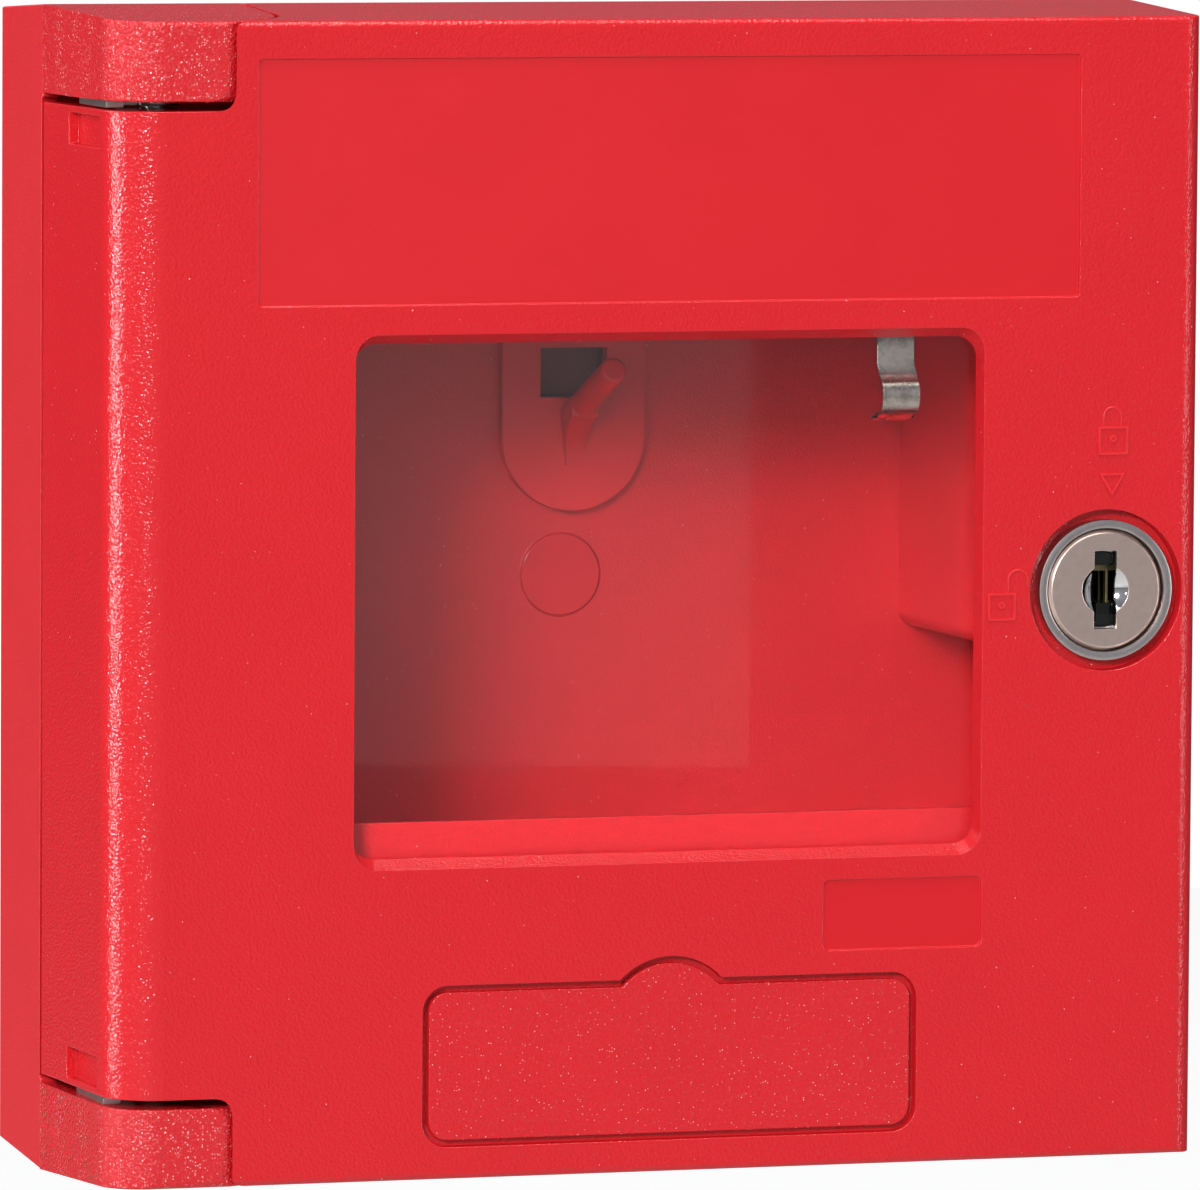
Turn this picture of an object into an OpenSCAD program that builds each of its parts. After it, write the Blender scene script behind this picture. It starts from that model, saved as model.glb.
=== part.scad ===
// Break glass key box: a wall base, a hinged door with a pane, and a key lock.
// The back of the base lies on y = 0, the door faces -Y, and +Z is up.
// The origin is the centre of the back, on the wall.

/* [Box] */
// Width of the door's face
face_w = 138; // [128:1:170]
// Height of the door's face
face_h = 140; // [132:1:180]
// Depth from the wall to the door's face
box_d = 53; // [50:0.5:70]
// Depth of the wall base, up to the parting line
base_d = 23; // [20:0.5:25]
// How far each side spreads from the face, and from the wall, to the parting line
draft = 1.1; // [0.5:0.1:1.6]
// Thickness of the moulded walls
wall = 2.2; // [1.8:0.1:2.8]
// Radius of the door's hinge-side corner
hinge_corner_r = 6.5; // [4:0.5:7]
// Radius of the door's lock-side corner
lock_corner_r = 3; // [2:0.5:4]
// Radius along the top and bottom edges of the face
face_edge_r = 0.9; // [0.5:0.1:1.5]
// Gap between the base and the closed door
seam_gap = 0.3; // [0.2:0.05:0.5]

/* [Hinge] */
// Distance of the hinge axis from the hinge side of the face
hinge_in = 8.4; // [8:0.1:9.5]
// Distance of the hinge axis behind the face
hinge_back = 13.5; // [12:0.1:14.5]
// Width of a hinge cap on the face
cap_w = 13.2; // [12:0.1:15]
// Height of a hinge cap
cap_h = 9.6; // [8.5:0.1:12]
// Gap between a hinge cap and the end of the door's knuckle
cap_gap = 1.1; // [0.8:0.1:1.6]
// Groove between a hinge cap and the door, measured from the hinge axis
cap_groove = 0.5; // [0.4:0.05:0.8]
// Radius of a hinge pin
pin_r = 1.6; // [1.2:0.1:2]
// Running clearance round a hinge pin
pin_clear = 0.05; // [0.03:0.01:0.1]
// Length of a hinge pin
pin_len = 16; // [12:0.5:18]
// Radius of the round end of a hinge washer
washer_r = 2.9; // [2.6:0.1:4]
// Play of the door between its washers, at each end
washer_play = 0.2; // [0.15:0.05:0.3]

/* [Window] */
// Width of the window at the face
window_w = 80; // [60:0.5:84]
// Height of the window at the face
window_h = 64.4; // [50:0.1:66]
// Centre of the window, to the lock side
window_x = 0.7; // [-2:0.1:2]
// Centre of the window, above the middle
window_z = 0; // [-2:0.1:2]
// Width of the bevel at the sides of the window
bevel_side = 0.6; // [0.3:0.1:1.5]
// Width of the bevel above and below the window
bevel_end = 1.7; // [0.5:0.1:2]
// Corner radius of the window
window_r = 3; // [2:0.1:5]
// How far the pane reaches behind the window's edge
pane_lap = 2.6; // [2:0.1:3]
// Thickness of the pane
pane_t = 2; // [1.5:0.1:3]
// Clearance round the pane
pane_clear = 0.2; // [0.1:0.05:0.4]

/* [Face details] */
// Width of the upper label recess
label_w = 104.4; // [90:0.1:112]
// Height of the upper label recess
label_h = 29.6; // [20:0.1:30]
// Depth of the shallow recesses in the face
label_deep = 0.4; // [0.2:0.1:0.6]
// Width of the lower cover's pocket
cover_w = 63.1; // [50:0.1:80]
// Height of the lower cover's pocket, without its finger tab
cover_h = 19.6; // [14:0.1:21]
// Height of the finger tab above the lower cover
tab_h = 2.8; // [2:0.1:3]
// Groove round the lower cover
cover_groove = 0.8; // [0.4:0.05:1.1]
// Thickness of the lower cover
cover_t = 1.2; // [0.8:0.1:1.4]
// Width of the bare name plate recess
plate_w = 20.4; // [12:0.1:24]
// Height of the bare name plate recess
plate_h = 8.6; // [6:0.1:9]

/* [Lock] */
// Distance of the lock's axis from the lock side of the face
lock_in = 12.2; // [12:0.1:13.5]
// Height of the lock's axis above the middle
lock_z = -0.2; // [-4:0.1:4]
// Radius of the recess round the lock
lock_recess_r = 9.9; // [9.4:0.1:10.4]
// Depth of that recess
lock_recess_deep = 2; // [1.4:0.1:2.4]
// Radius of the lock's flange
flange_r = 8.65; // [8:0.05:9]
// Radius of the lock's barrel
barrel_r = 6.4; // [6:0.1:6.6]
// Radius of the disc on the front of the lock's plug
disc_r = 7.35; // [6.8:0.05:7.5]
// Radius of the plug inside the barrel
plug_r = 4.6; // [4.2:0.1:5]
// Length of the barrel behind the recess
barrel_len = 17.6; // [15:0.1:18]
// Running clearance round the plug
plug_clear = 0.05; // [0.03:0.01:0.1]
// Height of the keyway
keyway_h = 9.6; // [8:0.1:10]
// Width of the keyway
keyway_w = 2.9; // [2.2:0.1:3.4]
// Reach of the cam from the lock's axis
cam_reach = 7.6; // [7:0.1:7.7]
// Width of the cam
cam_w = 7.2; // [6:0.1:7.6]
// Thickness of the cam
cam_t = 2; // [1.5:0.1:2.5]

/* [Inside] */
// Centre of the key hook, to the lock side
hook_x = 3.6; // [-10:0.1:10]
// Half the width of the hook's plate
hook_plate_r = 9.3; // [7:0.1:11]
// Height of the centre of the plate's round end
hook_plate_z = 16.2; // [10:0.1:18]
// Thickness of the hook's plate
hook_plate_t = 1.8; // [1.4:0.1:2.4]
// Radius of the hook's peg
hook_peg_r = 1.7; // [1.3:0.1:2]
// Height of the top of the shelf below the window
shelf_z = -32.4; // [-36:0.1:-31]
// Width of the lock keeper's housing
keeper_w = 18.6; // [18:0.1:20]
// Width of the pane's spring clip
clip_w = 4.8; // [4:0.1:6]
// Thickness of the pane's spring clip
clip_t = 0.5; // [0.4:0.05:0.8]
// Distance between the wall screws, across
screw_across = 100; // [90:1:106]
// Distance between the wall screws, up and down
screw_up = 108; // [100:1:112]
// Radius of a wall screw's hole
screw_hole_r = 2.25; // [1.8:0.05:2.6]

/* [Hidden] */

$fn = 64;
eps = 0.01;

// Colours
red = [0.80, 0.07, 0.08];
steel = [0.72, 0.72, 0.70];
brass = [0.72, 0.58, 0.28];

// Box
half_w = face_w / 2;
half_h = face_h / 2;
door_d = box_d - base_d;
floor_extra = 0.3;
base_floor = wall + floor_extra;
door_slope = draft / door_d;
base_slope = draft / base_d;

// Hinge: caps, knuckles and bearing plates
hinge_x = hinge_in - half_w;
hinge_y = hinge_back - box_d;
cap_z = half_h - cap_h;
knuckle_z = cap_z - cap_gap;
cap_r = norm([cap_w - hinge_in, hinge_back]);
notch_r = cap_r + cap_groove;
cap_fillet = 2.7;
fillet_steps = 5;
cap_back_extra = 1;
cap_back_x = hinge_x + cap_r + cap_back_extra;
sweep_clear = 0.6;
sweep_r = norm([hinge_in + draft, door_d - hinge_back]) + sweep_clear;
washer_t = cap_gap - washer_play;
plate_tab_w = 2.2;
plate_tab_len = 12;
plate_tab_back = 5.4;
plate_tab_in = 0.4;
plate_arm_w = 2.4;
pin_in_cap = 6;
knuckle_r = 4.4;
knuckle_web_t = 1.8;
knuckle_len = pin_len - pin_in_cap;
knuckle_end_t = 2;
notch_wall = 1.8;
notch_back_gap = 0.7;
tongue_up = 0.8;
tongue_side = 4.5;
tongue_clear = 0.3;

// Window and pane, which stay clear of the lock's boss
lock_x = half_w - lock_in;
lock_boss_wall = 1.4;
lock_boss_r = lock_recess_r + lock_boss_wall;
guide_t = 1.3;
guide_lap = 1.3;
low_guide_lap = 6.2;
pane_room = lock_x - lock_boss_r - guide_t - pane_clear - window_x;
window_wide = min(window_w, 2 * (pane_room - pane_lap + bevel_side));
pane_w = window_wide - 2 * bevel_side + 2 * pane_lap;
pane_h = window_h - 2 * bevel_end + 2 * pane_lap;
pane_front = wall - box_d;
pane_back = pane_front + pane_t;
window_right = window_x + window_wide / 2;
window_left = window_x - window_wide / 2;

// Pane clip and its post
clip_in = 9.3;
clip_x = window_right - clip_in;
clip_above = 6.4;
clip_top = window_z + pane_h / 2 + clip_above;
clip_hole_down = 2.6;
clip_hole_z = clip_top - clip_hole_down;
clip_nose_r = 2.4;
clip_fold_up = 3.7;
clip_lip = 2.2;
clip_nose_down = 8.4;
clip_nose_z = window_z + window_h / 2 - clip_nose_down;
clip_y = pane_back + pane_clear + clip_nose_r + clip_t / 2;
clip_post_y = clip_y - clip_t / 2;
clip_post_r = 3;
clip_screw_bite = 2;

// Recesses of the face and the lower cover
label_x = window_x;
label_side = 2;
label_wide = min(label_w, face_w - 2 * cap_w - 2 * label_side);
label_down = 4.55;
label_z = half_h - label_down - label_h / 2;
cover_shift = 0.35;
cover_x = window_x + cover_shift;
cover_up = 3.9;
cover_z = cover_up + cover_h / 2 - half_h;
cover_r = 3.2;
tab_half = 6.5;
tab_r = (tab_half * tab_half + tab_h * tab_h) / (2 * tab_h);
cover_sink = 0.2;
pocket_deep = cover_t + cover_sink;
peg_r = 1.5;
peg_in = 8;
peg_x = cover_w / 2 - peg_in;
peg_beyond = 1.2;
plate_shift = 0.2;
plate_x = window_right - plate_w / 2 + plate_shift;
plate_down = 2.8;
plate_z = window_z - window_h / 2 - plate_down - plate_h / 2;

// Lock: seat, flange, plug, wafers and cam
lock_seat = lock_recess_deep - box_d;
lock_seat_t = 3;
lock_boss_back = lock_seat + lock_seat_t;
flange_sink = 0.1;
flange_t = lock_recess_deep - flange_sink;
flange_bevel = 0.6;
barrel_back = lock_seat + barrel_len;
disc_t = 1.6;
disc_gap = 0.25;
disc_low = 0.15;
disc_bevel = 0.4;
dish_r = 4;
dish_out = 2.6;
tail_r = 3.5;
tail_len = 4;
tail_square = 4.6;
cam_front = barrel_back + tail_len;
cam_back = cam_front + cam_t;
lock_washer_t = 1;
nut_t = 4;
nut_across = 16;
wafer_count = 4;
wafer_t = 1;
wafer_pitch = 2.6;
wafer_first = 2;
wafer_w = 4.4;
wafer_wall = 0.5;
wafer_window_w = 2.6;
wafer_window_h = 5.6;
wafer_window_top = 2.1;
ward_x = -0.7;
ward_top = -1.7;
keyway_top = 2.95;

// Rim lip and the keeper for the cam
lip_h = 1.6;
lip_t = 1.2;
lip_gap = 0.35;
lip_in = wall + lip_gap + lip_t - draft;
keeper_clear = 0.3;
keeper_x = half_w - lip_in - keeper_clear - keeper_w;
keeper_below = 8.4;
keeper_above = 35;
keeper_bottom = lock_z - keeper_below;
keeper_top = lock_z + keeper_above;
keeper_screw_in = 4.4;
keeper_back_t = 3;
keeper_screw_bite = 2.9;
keeper_wall = 1.3;
keeper_corner_r = 2;
ledge_t = 2.8;
ledge_clear = 0.5;
ledge_front = cam_front - ledge_clear - ledge_t;
ledge_side = 1.4;
ledge_in = cam_w / 2 + ledge_side;
ledge_above = 1;

// Cable entry
knockout_r = 5.2;
knockout_up = 0.25;
knockout_cut = 0.7;
knockout_web = 0.6;
knockout_side = 1.1;
knockout_down = 17.4;

// Key hook
core_w = 8.7;
core_h = 6.2;
core_up = 4.9;
core_z = hook_plate_z + core_up;
core_sink = 1.9;
peg_up = 2.8;
peg_z = hook_plate_z + peg_up;
peg_len = 17.6;
peg_rise = 22;
web_w = 2;
web_curve = 7;
web_gap = 0.3;
hook_plate_above = 3;

// Screws
wall_pos = [for (sx = [-1, 1], sz = [-1, 1]) [sx * screw_across / 2, sz * screw_up / 2]];
small_screw_r = 1.25;
small_head_r = 2.6;
small_head_t = 1.6;
cap_screw_in = 4.5;
cap_screw_x = hinge_x + cap_screw_in;
cap_screw_down = 5;
cap_screw_z = half_h - cap_screw_down;
tongue_y = -8;
cap_screw_bite = 8;
head_sink = 0.4;
hook_screw_out = 5.58;
hook_screw_up = 1.2;
hook_screw_pos = [for (side = [-1, 1]) [hook_x + side * hook_screw_out, hook_plate_z + hook_screw_up]];
keeper_screw_pos = [for (end = [keeper_bottom + keeper_screw_in, keeper_top - keeper_screw_in])
    [keeper_x + keeper_w / 2, end]];

// Ribs of the door, beside the window
rib_t = 1.4;
rib_deep = 5;
rib_beside = 1.26;
nut_corner_r = nut_across / 2 / cos(30);
rib_outside = 12;
rib_low_x = window_left - rib_outside;
rib_high_x = lock_x - nut_corner_r - rib_beside - rib_t;

// Outline that widens from its front to its back, with rounded front corners.
// Its own centre line is x = 0. The slope is the spread of one side per length.
module tapered_2d(half, y_front, y_back, slope, r_low, r_high) {
    lean = atan(slope);
    deep = y_back - y_front;
    difference() {
        polygon([[-half, y_front], [half, y_front],
            [half + slope * deep, y_back], [-half - slope * deep, y_back]]);
        for (side = [[-1, r_low], [1, r_high]])
            mirror([side[0] < 0 ? 1 : 0, 0])
                corner_waste_2d(half, y_front, lean, side[1]);
    }
}

// What a round of radius r takes off the corner at [half, y_front].
module corner_waste_2d(half, y_front, lean, r) {
    centre_x = half + r * tan(lean) - r / cos(lean);
    centre_y = y_front + r;
    touch = [centre_x + r * cos(lean), centre_y - r * sin(lean)];
    difference() {
        polygon([[centre_x, centre_y], [centre_x, y_front - 1], [half + 1, y_front - 1],
            [touch[0] + 1, touch[1]], touch]);
        translate([centre_x, centre_y]) circle(r);
    }
}

// The door's outer form, or its inside when inset is the wall's thickness.
module door_form(inset, y_back) {
    lean = atan(door_slope);
    shrink = inset / cos(lean) - inset * door_slope;
    y_front = inset - box_d;
    intersection() {
        translate([0, 0, -face_h])
            linear_extrude(2 * face_h)
                tapered_2d(half_w - shrink, y_front, y_back, door_slope,
                    max(hinge_corner_r - inset, 0.6), max(lock_corner_r - inset, 0.6));
        rotate([90, 0, 90])
            translate([0, 0, -face_w])
                linear_extrude(2 * face_w)
                    rotate(-90)
                        tapered_2d_side(half_h - shrink, y_front, y_back,
                            max(face_edge_r - inset, 0.3));
    }
}

// The same outline turned so that its length runs along the first axis.
module tapered_2d_side(half, y_front, y_back, r) {
    tapered_2d(half, y_front, y_back, door_slope, r, r);
}

// The base's outer form, or its inside when inset is the wall's thickness.
module base_form(inset, y_back) {
    lean = atan(base_slope);
    shrink = inset / cos(lean);
    reach = base_d + y_back;
    wide = half_w - shrink - y_back * base_slope;
    tall = half_h - shrink - y_back * base_slope;
    rim_w = wide + base_slope * reach;
    rim_h = tall + base_slope * reach;
    intersection() {
        translate([0, 0, -face_h])
            linear_extrude(2 * face_h)
                polygon([[-wide, y_back], [-rim_w, -base_d], [rim_w, -base_d], [wide, y_back]]);
        translate([-face_w, 0, 0])
            rotate([90, 0, 90])
                linear_extrude(2 * face_w)
                    polygon([[y_back, -tall], [-base_d, -rim_h], [-base_d, rim_h], [y_back, tall]]);
    }
}

// A rectangle with rounded corners, centred on [0, 0].
module rounded_2d(w, h, r) {
    difference() {
        square([w, h], center = true);
        for (mx = [0, 1], my = [0, 1])
            mirror([mx, 0]) mirror([0, my])
                translate([w / 2, h / 2])
                    difference() {
                        translate([-r, -r]) square(r + 1);
                        translate([-r, -r]) circle(r);
                    }
    }
}

// Extrudes an outline drawn as seen from the front, from y_front back to y_back.
module front_extrude(y_front, y_back) {
    translate([0, y_back, 0])
        rotate([90, 0, 0])
            linear_extrude(y_back - y_front)
                children();
}

// A cylinder along Y from y_front back to y_back.
module front_cylinder(r, y_front, y_back) {
    translate([0, y_back, 0])
        rotate([90, 0, 0])
            cylinder(r = r, h = y_back - y_front);
}

// The outline of a cap's turning side, for a given radius and underside height.
// Its lower outer edge is rounded so that the cap's corner shows round on the face.
function cap_side(r, z_low, z_high) =
    let (flat_r = norm([sqrt(r * r - hinge_back * hinge_back) - cap_fillet, hinge_back]))
    concat([[0, z_high], [0, z_low], [flat_r, z_low]],
        [for (k = [1:fillet_steps], t = [k / fillet_steps])
            [flat_r + (r - flat_r) * (1 - pow(1 - t, 2)), z_low + cap_fillet * t * t]],
        [[r, z_high]]);

// The space of a hinge cap on the hinge-side corner, above z_low.
module cap_space(r, z_low, grow) {
    z_high = half_h + draft + 2;
    side_x = cap_back_x + grow;
    translate([hinge_x, hinge_y, 0])
        rotate_extrude()
            polygon(cap_side(r, z_low, z_high));
    translate([-half_w - 5, -box_d - 1, z_low])
        cube([half_w + 5 + hinge_x, door_d + 1 + eps, z_high - z_low]);
    translate([0, 0, z_low])
        linear_extrude(z_high - z_low)
            polygon([[hinge_x - eps, hinge_y], [hinge_x + r - 0.15, hinge_y],
                [side_x, -base_d + eps], [hinge_x - eps, -base_d + eps]]);
}

// A small pan head screw along Y: its head at the wall side, its tip forward.
module small_screw(y_head, y_tip) {
    front_cylinder(small_head_r, y_head - small_head_t, y_head);
    front_cylinder(small_screw_r, y_tip, y_head - small_head_t);
}

// The hole for such a screw through the base's floor, with a pocket for its head.
module small_screw_hole(y_tip) {
    front_cylinder(small_head_r + 0.2, -small_head_t - head_sink, 1);
    front_cylinder(small_screw_r, y_tip, 0);
}

module at_lock() {
    translate([lock_x, 0, lock_z]) children();
}

// The moulded base that is screwed to the wall.
module base_shell() {
    color(red)
        difference() {
            union() {
                difference() {
                    base_form(0, 0);
                    translate([0, -base_floor, 0]) base_form_inside();
                }
                base_rim_lip();
                intersection() {
                    base_form(wall / 2, -eps);
                    base_inner_parts();
                }
            }
            translate([hinge_x, hinge_y, -knuckle_z - cap_gap / 2])
                cylinder(r = sweep_r, h = 2 * knuckle_z + cap_gap);
            for (p = wall_pos)
                translate([p[0], 0, p[1]]) front_cylinder(screw_hole_r, -base_floor - 4, 1);
            for (mz = [0, 1])
                mirror([0, 0, mz])
                    translate([cap_screw_x, 0, cap_screw_z]) small_screw_hole(tongue_y - 1);
            for (p = concat(hook_screw_pos, keeper_screw_pos))
                translate([p[0], 0, p[1]]) small_screw_hole(-base_floor - 2);
            knockout_groove();
            front_extrude(-base_floor - 1, core_sink - base_floor) hook_core_2d();
        }
}

// The hollow of the base, open to the front.
module base_form_inside() {
    lean = atan(base_slope);
    shrink = wall / cos(lean) - base_floor * base_slope;
    wide = half_w - shrink;
    tall = half_h - shrink;
    reach = base_d + 1;
    intersection() {
        translate([0, 0, -face_h])
            linear_extrude(2 * face_h)
                polygon([[-wide, 0], [-wide - reach * base_slope, -reach],
                    [wide + reach * base_slope, -reach], [wide, 0]]);
        translate([-face_w, 0, 0])
            rotate([90, 0, 90])
                linear_extrude(2 * face_w)
                    polygon([[0, -tall], [-reach, -tall - reach * base_slope],
                        [-reach, tall + reach * base_slope], [0, tall]]);
    }
}

// Low lip inside the rim, on three sides, that keeps dust out of the closed door.
module base_rim_lip() {
    x_high = half_w - lip_in + lip_t;
    z_high = half_h - lip_in + lip_t;
    x_low = cap_back_x + 6;
    for (mz = [0, 1])
        mirror([0, 0, mz])
            translate([x_low, -base_d - lip_h, z_high - lip_t])
                cube([x_high - x_low, lip_h + 3, lip_t]);
    translate([x_high - lip_t, -base_d - lip_h, -z_high])
        cube([lip_t, lip_h + 3, 2 * z_high]);
    for (mz = [0, 1])
        mirror([0, 0, mz])
            translate([x_low, -base_d, z_high - lip_t])
                cube([half_w - x_low, 3, lip_t + wall]);
    translate([x_high - lip_t, -base_d, -half_h])
        cube([lip_t + wall, 3, face_h]);
}

// Shelf and bosses inside the base.
module base_inner_parts() {
    translate([-half_w, -base_d + 2, shelf_z - 2])
        cube([face_w, base_d - 2, 2]);
    for (x = [-half_w * 0.62, -half_w * 0.2, half_w * 0.22, half_w * 0.64])
        translate([x - 0.8, -base_d + 5, -half_h])
            cube([1.6, base_d - 5, half_h + shelf_z - 1]);
    at_knockout() front_cylinder(knockout_r, -base_floor - knockout_up, -1);
    for (p = wall_pos)
        translate([p[0], 0, p[1]]) front_cylinder(screw_hole_r + 2.6, -base_floor - 1.5, -1);
    for (mz = [0, 1])
        mirror([0, 0, mz])
            translate([cap_screw_x, 0, cap_screw_z]) front_cylinder(3.9, tongue_y, -1);
}

// Round cable entry that can be broken out: its disc stands a little proud of the floor.
module at_knockout() {
    translate([hook_x - knockout_side, 0, hook_plate_z - knockout_down]) children();
}

// The ring cut into the wall side, which leaves the disc on a thin web.
module knockout_groove() {
    at_knockout()
        difference() {
            front_cylinder(knockout_r, knockout_web - base_floor, 1);
            front_cylinder(knockout_r - knockout_cut, -base_floor - 1, 2);
        }
}

// Fixed corner cap that carries a hinge pin. Its tongue is screwed into the base.
module hinge_cap() {
    tongue_w = cap_back_x - hinge_x + tongue_side - 0.5;
    tongue_top = half_h - wall - tongue_clear;
    color(red)
        difference() {
            union() {
                intersection() {
                    door_form(0, -base_d);
                    cap_space(cap_r, cap_z, 0);
                }
                translate([hinge_x - tongue_side, -base_d - 2, cap_z + tongue_up])
                    cube([tongue_w, base_d + 2 + tongue_y, tongue_top - cap_z - tongue_up]);
            }
            translate([hinge_x, hinge_y, cap_z - 1])
                cylinder(r = pin_r, h = pin_in_cap + 1);
            translate([cap_screw_x, 0, cap_screw_z])
                front_cylinder(small_screw_r, tongue_y - cap_screw_bite, tongue_y + 1);
        }
}

module hinge_cap_top() {
    hinge_cap();
}

module hinge_cap_bottom() {
    mirror([0, 0, 1]) hinge_cap();
}

module hinge_pin() {
    color(steel)
        translate([hinge_x, hinge_y, cap_z + pin_in_cap - pin_len])
            cylinder(r = pin_r, h = pin_len);
}

module hinge_pin_top() {
    hinge_pin();
}

module hinge_pin_bottom() {
    mirror([0, 0, 1]) hinge_pin();
}

// Bearing plate between cap and knuckle: a ring on the pin and a tab that shows at the side.
module hinge_washer() {
    tab_edge = plate_tab_in - half_w;
    color(steel)
        translate([0, 0, cap_z - washer_t])
            linear_extrude(washer_t)
                difference() {
                    union() {
                        translate([hinge_x, hinge_y]) circle(washer_r);
                        translate([tab_edge, hinge_y - plate_arm_w / 2])
                            square([hinge_x - tab_edge, plate_arm_w]);
                        translate([tab_edge, hinge_y + plate_tab_back - plate_tab_len])
                            square([plate_tab_w, plate_tab_len]);
                    }
                    translate([hinge_x, hinge_y]) circle(pin_r);
                }
}

module hinge_washer_top() {
    hinge_washer();
}

module hinge_washer_bottom() {
    mirror([0, 0, 1]) hinge_washer();
}

// The two screws that hold the caps' tongues, put in from the wall side.
module hinge_cap_screws() {
    color(steel)
        for (mz = [0, 1])
            mirror([0, 0, mz])
                translate([cap_screw_x, 0, cap_screw_z]) small_screw(-head_sink, tongue_y - cap_screw_bite);
}

// Plate with the peg that the key hangs on, and the mould's core hole above it.
module key_hook() {
    plate_top = window_z + window_h / 2 + hook_plate_above;
    front = -base_floor - hook_plate_t;
    color(red)
        difference() {
            union() {
                front_extrude(front, -base_floor)
                    difference() {
                        union() {
                            translate([hook_x, hook_plate_z]) circle(hook_plate_r);
                            translate([hook_x - hook_plate_r, hook_plate_z])
                                square([2 * hook_plate_r, plate_top - hook_plate_z]);
                        }
                        hook_core_2d();
                    }
                hook_peg(front);
            }
            for (p = hook_screw_pos)
                translate([p[0], 0, p[1]]) front_cylinder(small_screw_r, front + 0.4, 0);
        }
}

// The hole behind the peg, which its mould needs.
module hook_core_2d() {
    translate([hook_x - core_w / 2, core_z]) square([core_w, core_h]);
}

// The rising peg with a rounded end, on a web that curves down into the plate.
module hook_peg(front) {
    end_round = 0.6;
    translate([hook_x, front, peg_z])
        rotate([90 - peg_rise, 0, 0])
            translate([0, 0, -1])
                rotate_extrude()
                    difference() {
                        square([hook_peg_r, peg_len + 1]);
                        translate([hook_peg_r - end_round, peg_len + 1 - end_round])
                            difference() {
                                square(end_round + 1);
                                circle(end_round);
                            }
                    }
    intersection() {
        translate([hook_x - hook_peg_r, 0, 0])
            rotate([90, 0, 90])
                linear_extrude(2 * hook_peg_r) hook_web_2d(front);
        front_extrude(front - peg_len, front + 1)
            polygon([[hook_x - web_w / 2, web_foot()], [hook_x + web_w / 2, web_foot()],
                [hook_x + hook_peg_r, peg_z], [hook_x + hook_peg_r, peg_z + peg_len],
                [hook_x - hook_peg_r, peg_z + peg_len], [hook_x - hook_peg_r, peg_z]]);
    }
}

// Height of the middle of the web's round, where the round meets plate and peg.
function web_foot() = peg_z - hook_peg_r / cos(peg_rise) + (web_curve + web_gap) * tan(peg_rise)
    - web_curve / cos(peg_rise);

// The web seen from its side, between the plate, the round and the peg's axis.
module hook_web_2d(front) {
    middle_y = front - web_gap - web_curve;
    end_y = middle_y + web_curve * sin(peg_rise);
    difference() {
        polygon([[front + 1, web_foot()], [middle_y, web_foot()],
            [end_y, web_foot()], [end_y, peg_z + (front - end_y) * tan(peg_rise)],
            [front + 1, peg_z - tan(peg_rise)]]);
        translate([middle_y, web_foot()]) circle(web_curve);
    }
}

module key_hook_screws() {
    color(steel)
        for (p = hook_screw_pos)
            translate([p[0], 0, p[1]]) small_screw(-head_sink, -base_floor - hook_plate_t + 0.5);
}

// Housing on the base that the cam turns into, with the ledge that holds the cam.
module lock_keeper() {
    tall = keeper_top - keeper_bottom;
    inner_w = keeper_w - 2 * keeper_wall;
    right_in = keeper_x + keeper_w - keeper_wall;
    deep = -base_floor - ledge_front;
    color(red)
        difference() {
            union() {
                difference() {
                    front_extrude(ledge_front, -base_floor)
                        translate([keeper_x + keeper_w / 2, keeper_bottom + tall / 2])
                            rounded_2d(keeper_w, tall, keeper_corner_r);
                    translate([keeper_x + keeper_wall, ledge_front - 1, keeper_bottom + keeper_wall])
                        cube([inner_w, deep + 1 - keeper_back_t, tall - 2 * keeper_wall]);
                }
                translate([lock_x + ledge_in, ledge_front, keeper_bottom])
                    cube([right_in - lock_x - ledge_in + eps, ledge_t,
                        keeper_below + cam_w / 2 + ledge_above]);
            }
            for (p = keeper_screw_pos)
                translate([p[0], 0, p[1]]) front_cylinder(small_screw_r, -base_floor - 4, 0);
        }
}

module lock_keeper_screws() {
    color(steel)
        for (p = keeper_screw_pos)
            translate([p[0], 0, p[1]]) small_screw(-head_sink, -base_floor - keeper_screw_bite);
}

// The hinged door: one moulded shell with its window, pockets, guides and knuckles.
module door_shell() {
    back = -base_d - seam_gap;
    color(red)
        difference() {
            union() {
                difference() {
                    door_form(0, back);
                    difference() {
                        door_form(wall, 1);
                        for (mz = [0, 1])
                            mirror([0, 0, mz])
                                cap_space(notch_r + notch_wall, knuckle_z - knuckle_end_t,
                                    notch_back_gap + notch_wall);
                    }
                }
                intersection() {
                    door_form(wall / 2, back);
                    door_inner_parts();
                }
            }
            for (mz = [0, 1])
                mirror([0, 0, mz]) {
                    cap_space(notch_r, knuckle_z, notch_back_gap);
                    translate([hinge_x, hinge_y, knuckle_z - knuckle_len - 1])
                        cylinder(r = pin_r + pin_clear, h = knuckle_len + 2);
                    knuckle_recess();
                }
            window_hole();
            face_recesses();
            at_lock() front_cylinder(lock_recess_r, -box_d - 1, lock_seat);
            at_lock() front_cylinder(barrel_r, -box_d - 1, lock_boss_back + 1);
        }
}

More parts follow.
